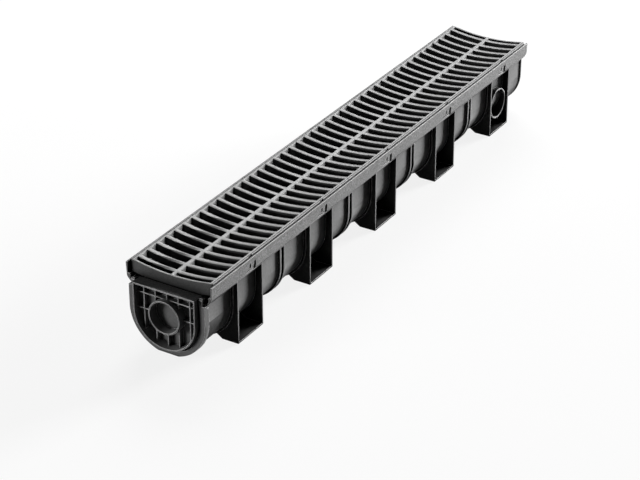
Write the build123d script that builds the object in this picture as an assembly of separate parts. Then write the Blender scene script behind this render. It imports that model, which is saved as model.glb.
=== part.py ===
# One-metre plastic drainage channel with a slotted grate and an end cap.
# X runs across the channel, Y along it and Z up. The feet stand on Z = 0, and the origin lies
# below the middle of the assembly. All sizes are in millimetres.
import os
from math import floor, radians, sqrt, tan
from build123d import *

# Channel: trough, shoulder and rim
channel_length = 1000.0
trough_radius = 62.5
trough_wall = 2.5
trough_lift = 1.0
side_height = 29.4
shoulder_step = 11.3
shoulder_round = 8.0
rim_height = 23.8
rim_draft = 1.2
rim_wall = 2.6
rim_end_round = 8.5
seat_depth = 17.5
seat_width = 4.3

# Feet
foot_pitch = 200.0
foot_length = 67.3
foot_wall = 2.5
foot_inset = 0.3
foot_flat = 28.5
foot_slope_deg = 33.0
foot_collar_step = 1.5

# Ribs round the trough and the flange of its open end
rib_gap = 7.0
rib_thickness = 3.6
rib_proud = 4.0
flange_thickness = 2.5
flange_proud = 2.5

# Pipe outlets, one size for the sides and the end cap
outlet_radius = 25.0
outlet_wall = 2.2
outlet_height = 50.0
outlet_recess = 4.3
outlet_draft = 2.0

# Latch windows in the rim, measured from the foot's middle and down from the rim's top
latch_hole_width = 4.0
latch_hole_height = 7.0
latch_hole_drop = 9.0
latch_slot_width = 6.9
latch_slot_height = 14.0
latch_slot_drop = 8.4
latch_slot_offset = 12.0
latch_slit_height = 1.2
latch_slit_drop = 18.0
latch_slit_length = 19.5
latch_cut_depth = 3.0

# Grate
grate_gap = 1.0
grate_near_gap = 7.0
grate_far_gap = 5.0
grate_proud = 2.0
grate_dish = 6.5
rail_width = 5.4
rail_groove = 0.8
rail_groove_inset = 2.2
bar_pitch = 22.8
bar_width = 7.0
bar_depth = 12.0
centre_rib_width = 5.5
fascia_thickness = 3.5
fascia_slot = 8.0
grate_corner = 3.0
nose_clearance = 0.5
nose_reach = 2.2
lift_slot_length = 9.0
lift_slot_depth = 1.4
lift_slot_height = 9.0

# End cap
cap_flange_depth = 7.5
cap_flange_proud = 3.4
cap_flange_wall = 2.3
cap_flange_rise = 34.5
cap_lip_length = 4.0
cap_seat_width = 1.5
cap_cup_inset = 8.7
cap_cup_wall = 2.0
cap_cup_proud = 15.0
cap_cup_rise = 44.2
cap_cup_inner_depth = 4.2
cap_floor = 2.2
cap_ring_proud = 0.5
cap_rib_wall = 1.6
cap_rib_pitch = 20.0
cap_rib_set_back = 8.5
cap_cross_rib_rise = 26.0
cap_plug_clearance = 0.5
cap_plug_depth = 9.0
cap_plug_wall = 1.8
cap_ear_width = 6.0
cap_ear_height = 13.0

# Worked out from the sizes above
cap_stand_out = cap_cup_proud + cap_ring_proud
near_end = -(channel_length - cap_stand_out) / 2
far_end = near_end + channel_length
trough_axis = trough_lift + trough_radius
side_top = trough_axis + side_height
rim_foot = trough_radius + shoulder_step
rim_half = rim_foot + rim_draft
rim_corner = side_top + shoulder_step
rim_top = rim_corner + rim_height
rim_inner = rim_half - rim_wall
seat_top = rim_top - seat_depth
inner_radius = trough_radius - trough_wall
slope_wall = trough_wall * sqrt(2)
feet_count = max(1, round(channel_length / foot_pitch))
feet_middle = near_end + channel_length / 2
feet_places = [
    feet_middle + (i - (feet_count - 1) / 2) * foot_pitch
    for i in range(feet_count)
]
rib_places = [
    (feet_places[i] + feet_places[i + 1]) / 2
    for i in range(feet_count - 1)
]
outlet_place = feet_places[-1]
sides = (-1, 1)


def across(face, start, length):
    """Extrude an outline drawn in X and Z along +Y from start."""
    plane = Plane(origin=(0, start, 0), x_dir=(1, 0, 0), z_dir=(0, -1, 0))
    return extrude(plane * face, amount=-length)


def cuboid(low, high):
    """Box between two opposite corners."""
    size = [b - a for a, b in zip(low, high)]
    middle = [(a + b) / 2 for a, b in zip(low, high)]
    return Pos(*middle) * Box(*size)


def u_outline(radius, top):
    """Filled U: a half disc round the trough's axis with straight sides up to top."""
    disc = Pos(0, trough_axis) * Circle(radius)
    flank = Pos(0, (trough_axis + top) / 2) * Rectangle(2 * radius, top - trough_axis)
    lower = Pos(0, trough_axis - radius) * Rectangle(2 * radius, 2 * radius)
    return (disc & lower) + flank


def mirrored(points):
    """Closed outline from its right half, listed from the top down to the middle."""
    left = [(-x, z) for x, z in reversed(points)]
    return make_face(Polyline(*points, *left, close=True))


def channel_outer():
    """Filled outer section of the trough, the 45 degree shoulder and the rim."""
    upper = mirrored([
        (rim_half, rim_top),
        (rim_foot, rim_corner),
        (trough_radius, side_top),
        (trough_radius, trough_axis),
    ])
    corners = [v for v in upper.vertices() if abs(v.Y - rim_corner) < 0.01]
    upper = fillet(corners, shoulder_round)
    return upper + u_outline(trough_radius, side_top)


def channel_inner():
    """Filled inside section: waterway, inner slope, grate seat and rim."""
    seat_inner = rim_inner - seat_width
    slope_start = side_top + slope_wall - trough_wall
    slope_end = slope_start + seat_inner - inner_radius
    upper = mirrored([
        (rim_inner, rim_top + trough_wall),
        (rim_inner, seat_top),
        (seat_inner, seat_top),
        (seat_inner, slope_end),
        (inner_radius, slope_start),
        (inner_radius, trough_axis),
    ])
    return upper + u_outline(inner_radius, slope_start)


def foot_outline(low):
    """Web of a right-hand foot, from height low up into the rim and the shoulder."""
    edge = rim_foot - foot_inset
    flat_end = edge - foot_flat
    reach = flat_end - inner_radius / 3
    rise = reach * tan(radians(foot_slope_deg))
    return make_face(Polyline(
        (edge, low),
        (flat_end, low),
        (flat_end - reach, low + rise),
        (flat_end - reach, side_top),
        (trough_radius, side_top + trough_wall),
        (edge, rim_corner + slope_wall),
        close=True,
    ))


def foot(middle):
    """Right-hand foot: two webs and the plate that joins them underneath."""
    start = middle - foot_length / 2
    block = across(foot_outline(0), start, foot_length)
    pocket = across(foot_outline(foot_wall), start + foot_wall, foot_length - 2 * foot_wall)
    mouth = Pos(foot_wall, 0, 0) * pocket
    return block - pocket - mouth


def collar_outline(proud):
    """U that stands proud of the trough, from the ground up into the shoulder."""
    outline = u_outline(trough_radius + proud, side_top + proud + trough_wall / 2)
    return outline & Pos(0, rim_top / 2) * Rectangle(2 * rim_half, rim_top)


def foot_collar(middle):
    """Thin U step round the trough, before the near webs of a pair of feet."""
    start = middle - foot_length / 2 - foot_collar_step
    return across(collar_outline(rib_proud), start, foot_collar_step + foot_wall)


def rim_end_corner():
    """What a round takes off the right-hand rim's lower corner at the open end."""
    inner = rim_inner - seat_width + trough_wall
    start = far_end - rim_end_round
    top = rim_corner + rim_end_round
    block = cuboid((inner, start, side_top), (rim_half + rim_wall, far_end + rim_end_round, top))
    rod = Cylinder(rim_end_round, 4 * rim_half, rotation=(0, 90, 0))
    return block - Pos(0, start, top) * rod


def rib_pair(middle):
    """Two U ribs side by side round the trough."""
    outline = collar_outline(rib_proud)
    shift = (rib_gap + rib_thickness) / 2
    starts = [middle + s * shift - rib_thickness / 2 for s in sides]
    return [across(outline, start, rib_thickness) for start in starts]


def end_flange():
    """Thin flange round the open end, level with the trough underneath."""
    outline = Pos(0, flange_proud) * collar_outline(flange_proud)
    return across(outline, far_end - flange_thickness, flange_thickness)


def outlet_rod(radius, inner, outer):
    """Rod along X on the outlet's axis, between two distances from the middle."""
    rod = Cylinder(radius, outer - inner, rotation=(0, 90, 0))
    return Pos((inner + outer) / 2, outlet_place, outlet_height) * rod


def outlet_bore(solid_trough):
    """Socket for a pipe, drafted below it, that leaves the trough's wall as a membrane."""
    socket = outlet_rod(outlet_radius, trough_radius, rim_half - outlet_recess)
    depth = trough_radius / 2
    cone = Cone(outlet_radius - outlet_draft, outlet_radius, depth, rotation=(0, 90, 0))
    drafted = Pos(trough_radius - depth / 2, outlet_place, outlet_height) * cone
    return socket + drafted - solid_trough


def latch_windows(middle):
    """Window, slot and slit that free the latch tongue in the right-hand rim."""
    inner = rim_half - latch_cut_depth
    outer = rim_half + rim_wall
    hole_top = rim_top - latch_hole_drop
    slot_top = rim_top - latch_slot_drop
    slit_top = rim_top - latch_slit_drop
    slot_start = middle + latch_slot_offset - latch_slot_width / 2
    hole = cuboid(
        (inner, middle - latch_hole_width / 2, hole_top - latch_hole_height),
        (outer, middle + latch_hole_width / 2, hole_top),
    )
    slot = cuboid(
        (inner, slot_start, slot_top - latch_slot_height),
        (outer, slot_start + latch_slot_width, slot_top),
    )
    slit = cuboid(
        (inner, slot_start - latch_slit_length, slit_top - latch_slit_height),
        (outer, slot_start, slit_top),
    )
    return [hole, slot, slit]


def both_sides(solids):
    """The right-hand solids and their mirror images."""
    return list(solids) + [mirror(s, about=Plane.YZ) for s in solids]


def channel_body():
    solid_trough = across(channel_outer(), near_end, channel_length)
    outlet_face = rim_half - outlet_recess
    outlet = outlet_rod(outlet_radius + outlet_wall, inner_radius / 2, outlet_face)
    added = both_sides([foot(y) for y in feet_places] + [outlet])
    for y in feet_places:
        added.append(foot_collar(y))
    for y in rib_places:
        added += rib_pair(y)
    added.append(end_flange())
    inside = across(channel_inner(), near_end - trough_wall, channel_length + 2 * trough_wall)
    removed = [outlet_bore(solid_trough), rim_end_corner()]
    for y in feet_places:
        removed += latch_windows(y)
    return (solid_trough + added) - inside - both_sides(removed)


def dished(top, depth):
    """Section between the grate's dished top and a like curve depth below it."""
    inner = rim_inner - grate_gap - rail_width
    upper = ThreePointArc((-inner, top), (0, top - grate_dish), (inner, top))
    lower = ThreePointArc(
        (inner, top - depth),
        (0, top - depth - grate_dish),
        (-inner, top - depth),
    )
    ends = [Line((inner, top), (inner, top - depth)), Line((-inner, top - depth), (-inner, top))]
    return make_face([upper, ends[0], lower, ends[1]])


def bar_places(start, length):
    """Middles of the bars, evenly spaced about the grate's middle."""
    margin = fascia_thickness + fascia_slot + bar_width / 2
    count = floor((length - 2 * margin) / bar_pitch) + 1
    first = start + (length - (count - 1) * bar_pitch) / 2
    return [first + i * bar_pitch for i in range(count)]


def grate():
    half = rim_inner - grate_gap
    inner = half - rail_width
    top = rim_top + grate_proud
    height = top - seat_top
    start = near_end + grate_near_gap
    length = channel_length - grate_near_gap - grate_far_gap
    end = start + length
    deck = across(dished(top, bar_depth), start, length)
    fascias = [
        across(dished(top, height), start, fascia_thickness),
        across(dished(top, height), end - fascia_thickness, fascia_thickness),
    ]
    rails = [
        cuboid((inner, start, seat_top), (half, end, top)),
        cuboid((-half, start, seat_top), (-inner, end, top)),
    ]
    slots = []
    places = bar_places(start, length)
    edges = [start + fascia_thickness]
    for y in places:
        edges += [y - bar_width / 2, y + bar_width / 2]
    edges.append(end - fascia_thickness)
    for low, high in zip(edges[0::2], edges[1::2]):
        slots.append(cuboid(
            (centre_rib_width / 2, low, top - height - grate_dish),
            (inner, high, top + grate_proud),
        ))
    body = deck + fascias + rails
    uprights = body.edges().filter_by(Axis.Z).filter_by(
        lambda e: abs(abs(e.center().X) - half) < 0.01
    )
    body = fillet(uprights, grate_corner)
    groove_middle = half - rail_groove_inset
    grooves = [cuboid(
        (groove_middle - rail_groove / 2, start, top - rail_groove),
        (groove_middle + rail_groove / 2, end, top + rail_groove),
    )]
    lifts = [
        cuboid(
            (half - lift_slot_depth, y, top - lift_slot_height),
            (half + lift_slot_depth, y + lift_slot_length, top + grate_proud),
        )
        for y in feet_places
    ]
    body = body - both_sides(slots + grooves + lifts)
    return body + both_sides([latch_nose(y, half) for y in feet_places])


def latch_nose(middle, half):
    """Wedge on the rail that snaps into the window of the rim."""
    top = rim_top - latch_hole_drop - nose_clearance
    low = top - latch_hole_height + 2 * nose_clearance
    width = latch_hole_width - 2 * nose_clearance
    wedge = make_face(Polyline(
        (half - rail_groove, top),
        (half + nose_reach, top),
        (half + nose_reach, top - nose_clearance),
        (half, low),
        (half - rail_groove, low),
        close=True,
    ))
    return across(wedge, middle - width / 2, width)


def cap_ear(middle):
    """Hooked ear on the cap's shoulder, drawn in Y and Z."""
    low = trough_axis + cap_flange_rise - cap_floor
    top = low + cap_ear_height
    thin = cap_floor
    outline = make_face(Polyline(
        (near_end, low),
        (near_end - 3 * thin, low),
        (near_end - 3 * thin, top - thin),
        (near_end - 2 * thin, top),
        (near_end + thin, top - thin / 2),
        (near_end + thin, top - 1.5 * thin),
        (near_end - 1.5 * thin, top - 2 * thin),
        (near_end - 1.5 * thin, low + thin),
        (near_end, low + thin),
        close=True,
    ))
    plane = Plane(origin=(middle - cap_ear_width / 2, 0, 0), x_dir=(0, 1, 0), z_dir=(1, 0, 0))
    return extrude(plane * outline, amount=cap_ear_width)


def cap_flange():
    """Flange in front of the channel's end, with a lip round the trough and a plug inside it."""
    front = near_end - cap_flange_depth
    top = trough_axis + cap_flange_rise
    plug_radius = inner_radius - cap_plug_clearance
    below_top = Pos(0, top / 2) * Rectangle(2 * rim_half, top)
    below_shoulder = Pos(0, side_top / 2) * Rectangle(2 * rim_half, side_top)
    outer = collar_outline(cap_flange_proud) & below_top
    lip_radius = trough_radius + cap_flange_proud - cap_flange_wall
    outer_wall = outer - u_outline(lip_radius, top + cap_flange_wall)
    plug_inner = u_outline(plug_radius - cap_plug_wall, top + cap_flange_wall)
    seat = u_outline(inner_radius + cap_seat_width, top) - plug_inner
    plug = (u_outline(plug_radius, top) - plug_inner) & below_shoulder
    pieces = [
        across(outer - plug_inner, front, cap_flange_wall),
        across(outer_wall, front, cap_flange_depth),
        across(outer_wall & below_shoulder, near_end, cap_lip_length),
        across(seat, front, cap_flange_depth),
        across(plug, near_end, cap_plug_depth),
        across(u_outline(plug_radius, top), near_end - cap_floor, cap_floor),
    ]
    return pieces[0] + pieces[1:]


def end_cap():
    cup_top = trough_axis + cap_cup_rise
    cup_radius = trough_radius - cap_cup_inset
    cup_front = near_end - cap_cup_proud
    cup_back = near_end + cap_cup_inner_depth
    cup = across(u_outline(cup_radius, cup_top), cup_front, cup_back - cup_front)
    ear_middle = cup_radius + cap_cup_wall + cap_ear_width / 2
    hollow_outline = u_outline(cup_radius - cap_cup_wall, cup_top - cap_cup_wall)
    floor_front = cup_back - cap_floor
    hollow = across(hollow_outline, cup_front - cap_cup_wall, floor_front - cup_front + cap_cup_wall)
    body = cap_flange() + [cup] + both_sides([cap_ear(ear_middle)])
    fitted = [cap_ribs(hollow_outline, floor_front), cap_ring(floor_front)]
    return body - hollow + fitted - cap_bore(floor_front)


def cap_ribs(hollow_outline, floor_front):
    """Stiffening grid on the cap's floor."""
    front = near_end - cap_cup_proud + cap_rib_set_back
    reach = 2 * trough_radius
    count = floor((trough_radius - cap_cup_inset - cap_cup_wall) / cap_rib_pitch)
    bars = [
        Pos(i * cap_rib_pitch, trough_axis) * Rectangle(cap_rib_wall, 2 * reach)
        for i in range(-count, count + 1)
    ]
    bars += [
        Pos(0, trough_axis + rise) * Rectangle(2 * reach, cap_rib_wall)
        for rise in (0, cap_cross_rib_rise)
    ]
    grid = bars[0] + bars[1:]
    inside = hollow_outline & grid
    return across(inside, front, floor_front - front)


def cap_ring(floor_front):
    front = near_end - cap_stand_out
    disc = Pos(0, trough_axis) * Circle(outlet_radius + outlet_wall)
    return across(disc, front, floor_front - front)


def cap_bore(floor_front):
    front = near_end - cap_stand_out
    disc = Pos(0, trough_axis) * Circle(outlet_radius)
    return across(disc, front - cap_ring_proud, floor_front - front + cap_ring_proud)


def save(name, solid):
    export_step(solid, f"parts/{name}.step")


os.makedirs("parts", exist_ok=True)
save("channel_body", channel_body())
save("grate", grate())
save("end_cap", end_cap())
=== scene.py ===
# Looks of the drainage channel: finish of the black mouldings, floor, light and camera.
# Everything is in metres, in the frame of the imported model.
from math import cos, radians, sin

import bpy
from mathutils import Matrix, Vector


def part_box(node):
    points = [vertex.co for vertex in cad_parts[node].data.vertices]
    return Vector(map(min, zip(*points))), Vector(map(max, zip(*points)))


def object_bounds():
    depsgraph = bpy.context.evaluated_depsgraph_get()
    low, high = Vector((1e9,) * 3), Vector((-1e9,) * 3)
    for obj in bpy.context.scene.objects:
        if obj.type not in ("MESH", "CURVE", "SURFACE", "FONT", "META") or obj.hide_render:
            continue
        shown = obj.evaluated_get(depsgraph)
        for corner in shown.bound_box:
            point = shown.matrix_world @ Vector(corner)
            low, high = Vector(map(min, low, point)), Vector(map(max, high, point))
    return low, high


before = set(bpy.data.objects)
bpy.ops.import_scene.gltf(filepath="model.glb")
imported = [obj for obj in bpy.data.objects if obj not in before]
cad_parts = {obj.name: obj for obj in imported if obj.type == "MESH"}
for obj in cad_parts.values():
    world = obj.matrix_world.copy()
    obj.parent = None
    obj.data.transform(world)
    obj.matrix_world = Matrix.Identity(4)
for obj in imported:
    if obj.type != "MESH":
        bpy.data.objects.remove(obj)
cad_low, cad_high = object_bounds()

MM = 0.001
WHITE = (1, 1, 1, 1)

# Camera: where the photograph was taken from, in degrees and metres, with the lens in millimetres.
# It aims to the left of the channel's middle and below it, as the photograph does.
VIEW_AZIMUTH = 31.26
VIEW_ELEVATION = 29.16
VIEW_DISTANCE = 3.3979
MIDDLE_HEIGHT = 0.060
AIM_LEFT = 0.0431
AIM_BELOW = 0.0991
LENS = 118.03
VIEW_LIMIT = 100

# Floor: half its width, its tone, its tone for the light that it throws back at the channel, and the
# share of plain white in it for the camera and for reflections
FLOOR_HALF = 30.0
FLOOR_TONE = 0.86
FLOOR_BOUNCE = 0.03
FLOOR_GLOW = 0.85

# Room: how strongly it lights the channel. For the camera and for reflections it is white up to one
# elevation, in degrees, and fades to the ceiling's tone at the other.
ROOM_LIGHT = 0.012
BACKDROP_TOP = 8
CEILING = 40
CEILING_TONE = 0.08

# Soft boxes: azimuth and elevation in degrees, distance and size in metres, power in watts
SOFT_BOXES = {
    "key": (158, 10, 7.0, (2.2, 1.6), 1350),
    "back": (208, 34, 4.0, (2.4, 1.4), 165),
    "fill": (-36, 5, 4.0, (1.2, 0.6), 90),
    "glance": (102, 35, 4.0, (1.2, 0.8), 200),
}

# The glance is for the slot ends of the grate and lights nothing else
LIGHTS_ONLY = {"glance": "grate"}

# Rounded edges: width, steps across it and the angle in degrees from which an edge counts as sharp.
# Before that, points nearer than WELD_WITHIN are joined, and so are faces that lie in one plane to
# FLAT_WITHIN degrees. EDGE_SLOT is the material slot of the rounded edges.
EDGE_WIDTH = 0.35 * MM
EDGE_STEPS = 2
SHARP_FROM = 35
WELD_WITHIN = 0.01 * MM
FLAT_WITHIN = 0.02
EDGE_SLOT = 1

# Texture of all mouldings: sizes of its noises, their detail, and the part of their range in use
GRAIN_SIZE = 0.8 * MM
SPECKLE_SIZE = 2.0 * MM
MOTTLE_SIZE = 3.5 * MM
FLOW_SIZE = 45 * MM
NOISE_DETAIL = 2.0
MOTTLE_DETAIL = 3.0
NOISE_LIMITS = (0.3, 0.7)

# Effect of the texture: depth and strength of the relief, change in tone as a share, change in roughness
GRAIN_DEPTH = 0.03 * MM
GRAIN_STRENGTH = 1.0
WAVE_DEPTH = 0.25 * MM
WAVE_STRENGTH = 0.5
MOTTLE_TONE = 0.10
FLOW_TONE = 0.06
MOTTLE_GLOSS = 0.04
FLOW_GLOSS = 0.02

# Half the height over which the speckled part of a moulding begins
SPECKLE_BLEND = 2 * MM

# Painted shade: hollows and seams are darkened in colour by how much open space a point sees within a
# reach. The first limit is where they are darkest, the second is where a face counts as open.
HOLLOW_SHADE_LIMITS = (0.48, 0.96)
SEAM_SHADE_LIMITS = (0.54, 0.82)
SEAM_SHADE_REACH = 4.5 * MM
SEAM_SHADE_TONE = 0.04
SPACE_SAMPLES = 8

# Faces that look sideways get painted light: how far along X their normal points, from not at all to
# fully sideways. The other faces get a painted shade that starts at the height set next and deepens down
# to the ground.
SIDEWAYS_LIMITS = (0.85, 0.97)
GROUND_SHADE_HEIGHT = 60 * MM

# Faces of each moulding: tone, roughness and mirror share, unevenness of the speckled part and the
# height where it starts, share of the tone that painted shade leaves in hollows and how far those reach,
# share that painted shade leaves at the ground, and how many times lighter painted light makes the
# sideways faces
FINISHES = {
    "channel_body": {
        "tone": 0.165, "roughness": 0.50, "mirror": 0.03, "speckle": 0.50, "speckled_from": 103 * MM,
        "left_by_hollow_shade": 0.06, "reach": 30 * MM, "left_by_ground_shade": 0.35, "painted_side_light": 1.5,
    },
    "grate": {
        "tone": 0.08, "roughness": 0.42, "mirror": 0.25, "speckle": 0.15, "speckled_from": 103 * MM,
        "left_by_hollow_shade": 0.06, "reach": 26 * MM, "left_by_ground_shade": 1.0, "painted_side_light": 6.0,
    },
    "end_cap": {
        "tone": 0.145, "roughness": 0.50, "mirror": 0.12, "speckle": 0.40, "speckled_from": 97 * MM,
        "left_by_hollow_shade": 0.75, "reach": 16 * MM, "left_by_ground_shade": 1.0, "painted_side_light": 1.0,
    },
}

# Rounded edges: a lighter tone on each moulding, which is a painted highlight, and the finish that they
# share
EDGE_HIGHLIGHT_TONES = {"channel_body": 0.85, "grate": 0.15, "end_cap": 0.95}
EDGE_FINISH = {
    "roughness": 0.44, "mirror": 0.20, "speckle": 0, "left_by_hollow_shade": 0.45, "left_by_ground_shade": 1.0, "painted_side_light": 1.0,
}


def direction(azimuth, elevation):
    """From the channel outwards, in degrees: azimuth 0 is in front of the capped end, 90 on the right."""
    turn = radians(azimuth)
    rise = radians(elevation)
    return Vector((sin(turn) * cos(rise), -cos(turn) * cos(rise), sin(rise)))


def make_camera():
    right = direction(VIEW_AZIMUTH + 90, 0)
    back = direction(VIEW_AZIMUTH, VIEW_ELEVATION)
    up = back.cross(right)
    body_low, body_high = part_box("channel_body")
    middle = Vector((0, (body_low.y + body_high.y) / 2, MIDDLE_HEIGHT))
    aim = middle - right * AIM_LEFT - up * AIM_BELOW
    data = bpy.data.cameras.new("photo_camera")
    data.lens = LENS
    data.clip_end = VIEW_LIMIT
    camera = bpy.data.objects.new("photo_camera", data)
    turned = Matrix((right, up, back)).transposed().to_4x4()
    camera.matrix_world = Matrix.Translation(aim + back * VIEW_DISTANCE) @ turned
    bpy.context.scene.collection.objects.link(camera)
    bpy.context.scene.camera = camera


def soft_box(name, azimuth, elevation, distance, size, power):
    """Area lamp that looks at the middle of the channel."""
    back = direction(azimuth, elevation)
    data = bpy.data.lights.new(name, "AREA")
    data.shape = "RECTANGLE"
    data.size, data.size_y = size
    data.energy = power
    lamp = bpy.data.objects.new(name, data)
    lamp.location = (cad_low + cad_high) / 2 + back * distance
    lamp.rotation_euler = back.to_track_quat("Z", "Y").to_euler()
    bpy.context.scene.collection.objects.link(lamp)
    return lamp


def light_only(lamp, node):
    """Keeps a lamp's light to one moulding."""
    lit = bpy.data.collections.new("lit_by_" + lamp.name)
    lit.objects.link(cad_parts[node])
    lamp.light_linking.receiver_collection = lit


def node_tree(owner):
    """Empty shader tree of a material or a world."""
    owner.use_nodes = True
    owner.node_tree.nodes.clear()
    return owner.node_tree


def connect(tree, value, socket):
    """Links another node's output to a socket, or writes a plain value into it."""
    if isinstance(value, bpy.types.NodeSocket):
        tree.links.new(value, socket)
    else:
        socket.default_value = value


def add(tree, kind, **inputs):
    """Adds a node and fills its sockets by name, with underscores for spaces."""
    node = tree.nodes.new(kind)
    for name, value in inputs.items():
        connect(tree, value, node.inputs[name.replace("_", " ")])
    return node


def compute(tree, operation, *values):
    """Result of a Math node."""
    node = tree.nodes.new("ShaderNodeMath")
    node.operation = operation
    for socket, value in zip(node.inputs, values):
        connect(tree, value, socket)
    return node.outputs["Value"]


def times(tree, first, *others):
    """Product of two or more values."""
    product = first
    for other in others:
        product = compute(tree, "MULTIPLY", product, other)
    return product


def map_range(tree, value, low, high, bottom=0.0, top=1.0):
    """Maps low to high onto bottom to top, held at both ends."""
    ramp = add(
        tree, "ShaderNodeMapRange", Value=value, From_Min=low, From_Max=high, To_Min=bottom, To_Max=top
    )
    return ramp.outputs["Result"]


def grey(tree, level):
    colour = add(tree, "ShaderNodeCombineColor", Red=level, Green=level, Blue=level)
    return colour.outputs["Color"]


def mix(tree, share, first, second):
    """Blends two shaders, with the given share of the second."""
    blend = tree.nodes.new("ShaderNodeMixShader")
    for socket, output in zip(blend.inputs, (share, first, second)):
        tree.links.new(output, socket)
    return blend.outputs["Shader"]


def seen_background(tree, path):
    """1 for the rays that show the background: from the camera, or reflected or refracted."""
    mirrored = compute(
        tree, "MAXIMUM", path.outputs["Is Glossy Ray"], path.outputs["Is Transmission Ray"]
    )
    return compute(tree, "MAXIMUM", path.outputs["Is Camera Ray"], mirrored)


def pale_floor():
    material = bpy.data.materials.new("pale_floor")
    tree = node_tree(material)
    path = add(tree, "ShaderNodeLightPath")
    tone = map_range(tree, path.outputs["Is Diffuse Ray"], 0.0, 1.0, FLOOR_TONE, FLOOR_BOUNCE)
    matt = add(tree, "ShaderNodeBsdfDiffuse", Color=grey(tree, tone))
    glow = add(tree, "ShaderNodeEmission", Color=WHITE, Strength=1.0)
    glow_share = times(tree, seen_background(tree, path), FLOOR_GLOW)
    surface = mix(tree, glow_share, matt.outputs["BSDF"], glow.outputs["Emission"])
    add(tree, "ShaderNodeOutputMaterial", Surface=surface)
    return material


def make_floor():
    mesh = bpy.data.meshes.new("floor")
    half = FLOOR_HALF
    corners = [(-half, -half, 0), (half, -half, 0), (half, half, 0), (-half, half, 0)]
    mesh.from_pydata(corners, [], [(0, 1, 2, 3)])
    mesh.materials.append(pale_floor())
    floor = bpy.data.objects.new("floor", mesh)
    bpy.context.scene.collection.objects.link(floor)


def make_world():
    """Dim room; the camera and reflections see a white backdrop that fades into a dark ceiling."""
    world = bpy.data.worlds.new("studio")
    bpy.context.scene.world = world
    tree = node_tree(world)
    outwards = add(tree, "ShaderNodeTexCoord").outputs["Generated"]
    height = add(tree, "ShaderNodeSeparateXYZ", Vector=outwards).outputs["Z"]
    white_to = sin(radians(BACKDROP_TOP))
    dark_from = sin(radians(CEILING))
    fade = map_range(tree, height, white_to, dark_from, 1.0, CEILING_TONE)
    room = add(tree, "ShaderNodeBackground", Color=WHITE, Strength=ROOM_LIGHT)
    backdrop = add(tree, "ShaderNodeBackground", Color=WHITE, Strength=fade)
    seen = seen_background(tree, add(tree, "ShaderNodeLightPath"))
    surface = mix(tree, seen, room.outputs["Background"], backdrop.outputs["Background"])
    add(tree, "ShaderNodeOutputWorld", Surface=surface)


def noise(tree, place, size, detail=NOISE_DETAIL):
    """Noise between 0 and 1 with features of the given size."""
    texture = add(tree, "ShaderNodeTexNoise", Vector=place, Scale=1 / size, Detail=detail)
    return texture.outputs["Fac"]


def vary(tree, value, middle, change):
    """Turns a noise into a value that changes to both sides of a middle one."""
    return map_range(tree, value, *NOISE_LIMITS, middle - change, middle + change)


def speckles(tree, place, height, change, start):
    """Light and dark dots around 1, on the part above a starting height."""
    dots = vary(tree, noise(tree, place, SPECKLE_SIZE), 0.0, change)
    upper = map_range(tree, height, start - SPECKLE_BLEND, start + SPECKLE_BLEND)
    return compute(tree, "ADD", times(tree, dots, upper), 1.0)


def painted_hollow_shade(tree, reach, limits, least):
    """Painted shade: 1 on open faces, down to least in hollows and corners nearer than reach."""
    space = add(tree, "ShaderNodeAmbientOcclusion", Distance=reach)
    space.samples = SPACE_SAMPLES
    return map_range(tree, space.outputs["AO"], *limits, least)


def facing_sideways(tree, normal):
    """1 on faces that look to the channel's right or left, 0 on the others; the mask of the painted side
    light.
    """
    across = add(tree, "ShaderNodeSeparateXYZ", Vector=normal).outputs["X"]
    return map_range(tree, compute(tree, "ABSOLUTE", across), *SIDEWAYS_LIMITS)


def relief(tree, place, flow):
    """Normal of a surface with faint waves and, on them, a fine grain."""
    wave = add(tree, "ShaderNodeBump", Strength=WAVE_STRENGTH, Distance=WAVE_DEPTH, Height=flow)
    grain = add(
        tree, "ShaderNodeBump", Strength=GRAIN_STRENGTH, Distance=GRAIN_DEPTH,
        Height=noise(tree, place, GRAIN_SIZE), Normal=wave.outputs["Normal"],
    )
    return grain.outputs["Normal"]


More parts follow.
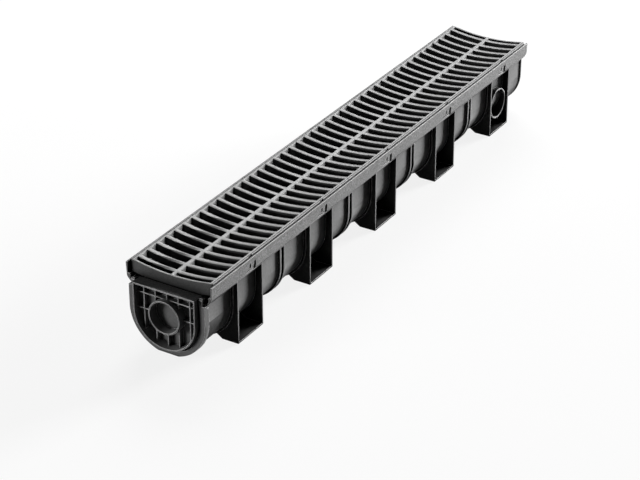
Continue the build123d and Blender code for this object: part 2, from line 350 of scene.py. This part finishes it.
def plastic(name, tone, roughness, mirror, speckle, speckled_from, left_by_hollow_shade, reach, left_by_ground_shade, painted_side_light):
    """Black moulded plastic: spark-eroded grain, faint flow marks, a slightly uneven gloss, painted shade
    in hollows, seams and near the ground, and painted light on sideways faces.
    """
    material = bpy.data.materials.new(name)
    tree = node_tree(material)
    coordinates = add(tree, "ShaderNodeTexCoord")
    place = coordinates.outputs["Object"]
    height = add(tree, "ShaderNodeSeparateXYZ", Vector=place).outputs["Z"]
    side = facing_sideways(tree, coordinates.outputs["Normal"])
    mottle = noise(tree, place, MOTTLE_SIZE, MOTTLE_DETAIL)
    flow = noise(tree, place, FLOW_SIZE)
    # Painted shade towards the ground; faces that look sideways are kept out of it
    ground_shade = map_range(tree, height, 0.0, GROUND_SHADE_HEIGHT, left_by_ground_shade)
    # Painted shade in hollows, in seams and towards the ground
    painted_shade = times(
        tree,
        painted_hollow_shade(tree, reach, HOLLOW_SHADE_LIMITS, left_by_hollow_shade),
        painted_hollow_shade(tree, SEAM_SHADE_REACH, SEAM_SHADE_LIMITS, SEAM_SHADE_TONE),
        compute(tree, "MAXIMUM", ground_shade, side),
    )
    level = times(
        tree,
        vary(tree, mottle, 1.0, MOTTLE_TONE),
        vary(tree, flow, 1.0, FLOW_TONE),
        speckles(tree, place, height, speckle, speckled_from),
        painted_shade,
        # painted light: sideways faces made lighter in colour
        map_range(tree, side, 0.0, 1.0, 1.0, painted_side_light),
        tone,
    )
    gloss = compute(
        tree, "ADD", vary(tree, mottle, roughness, MOTTLE_GLOSS), vary(tree, flow, 0.0, FLOW_GLOSS)
    )
    shader = add(
        tree, "ShaderNodeBsdfPrincipled", Base_Color=grey(tree, level), Roughness=gloss,
        Specular_IOR_Level=mirror, Normal=relief(tree, place, flow),
    )
    add(tree, "ShaderNodeOutputMaterial", Surface=shader.outputs["BSDF"])
    return material


def paint(moulding, face, edge):
    """Gives a moulding the material of its faces and, in EDGE_SLOT, that of its rounded edges."""
    moulding.data.materials.clear()
    moulding.data.materials.append(face)
    moulding.data.materials.append(edge)


def round_edges(moulding):
    """Rounds a moulding's sharp edges and gives the new faces the material in EDGE_SLOT."""
    weld = moulding.modifiers.new("weld", "WELD")
    weld.merge_threshold = WELD_WITHIN
    flat = moulding.modifiers.new("flat", "DECIMATE")
    flat.decimate_type = "DISSOLVE"
    flat.angle_limit = radians(FLAT_WITHIN)
    rounding = moulding.modifiers.new("rounding", "BEVEL")
    rounding.width = EDGE_WIDTH
    rounding.segments = EDGE_STEPS
    rounding.limit_method = "ANGLE"
    rounding.angle_limit = radians(SHARP_FROM)
    rounding.use_clamp_overlap = False
    rounding.harden_normals = False
    rounding.material = EDGE_SLOT


make_camera()
make_floor()
make_world()
for name, setting in SOFT_BOXES.items():
    lamp = soft_box(name, *setting)
    if name in LIGHTS_ONLY:
        light_only(lamp, LIGHTS_ONLY[name])
bpy.context.scene.view_settings.view_transform = "Standard"

for node, finish in FINISHES.items():
    # The rounded edges get the lighter edge tone, a painted highlight
    edge_finish = {**finish, **EDGE_FINISH, "tone": EDGE_HIGHLIGHT_TONES[node]}
    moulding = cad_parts[node]
    paint(moulding, plastic(node + "_face", **finish), plastic(node + "_edge", **edge_finish))
    round_edges(moulding)
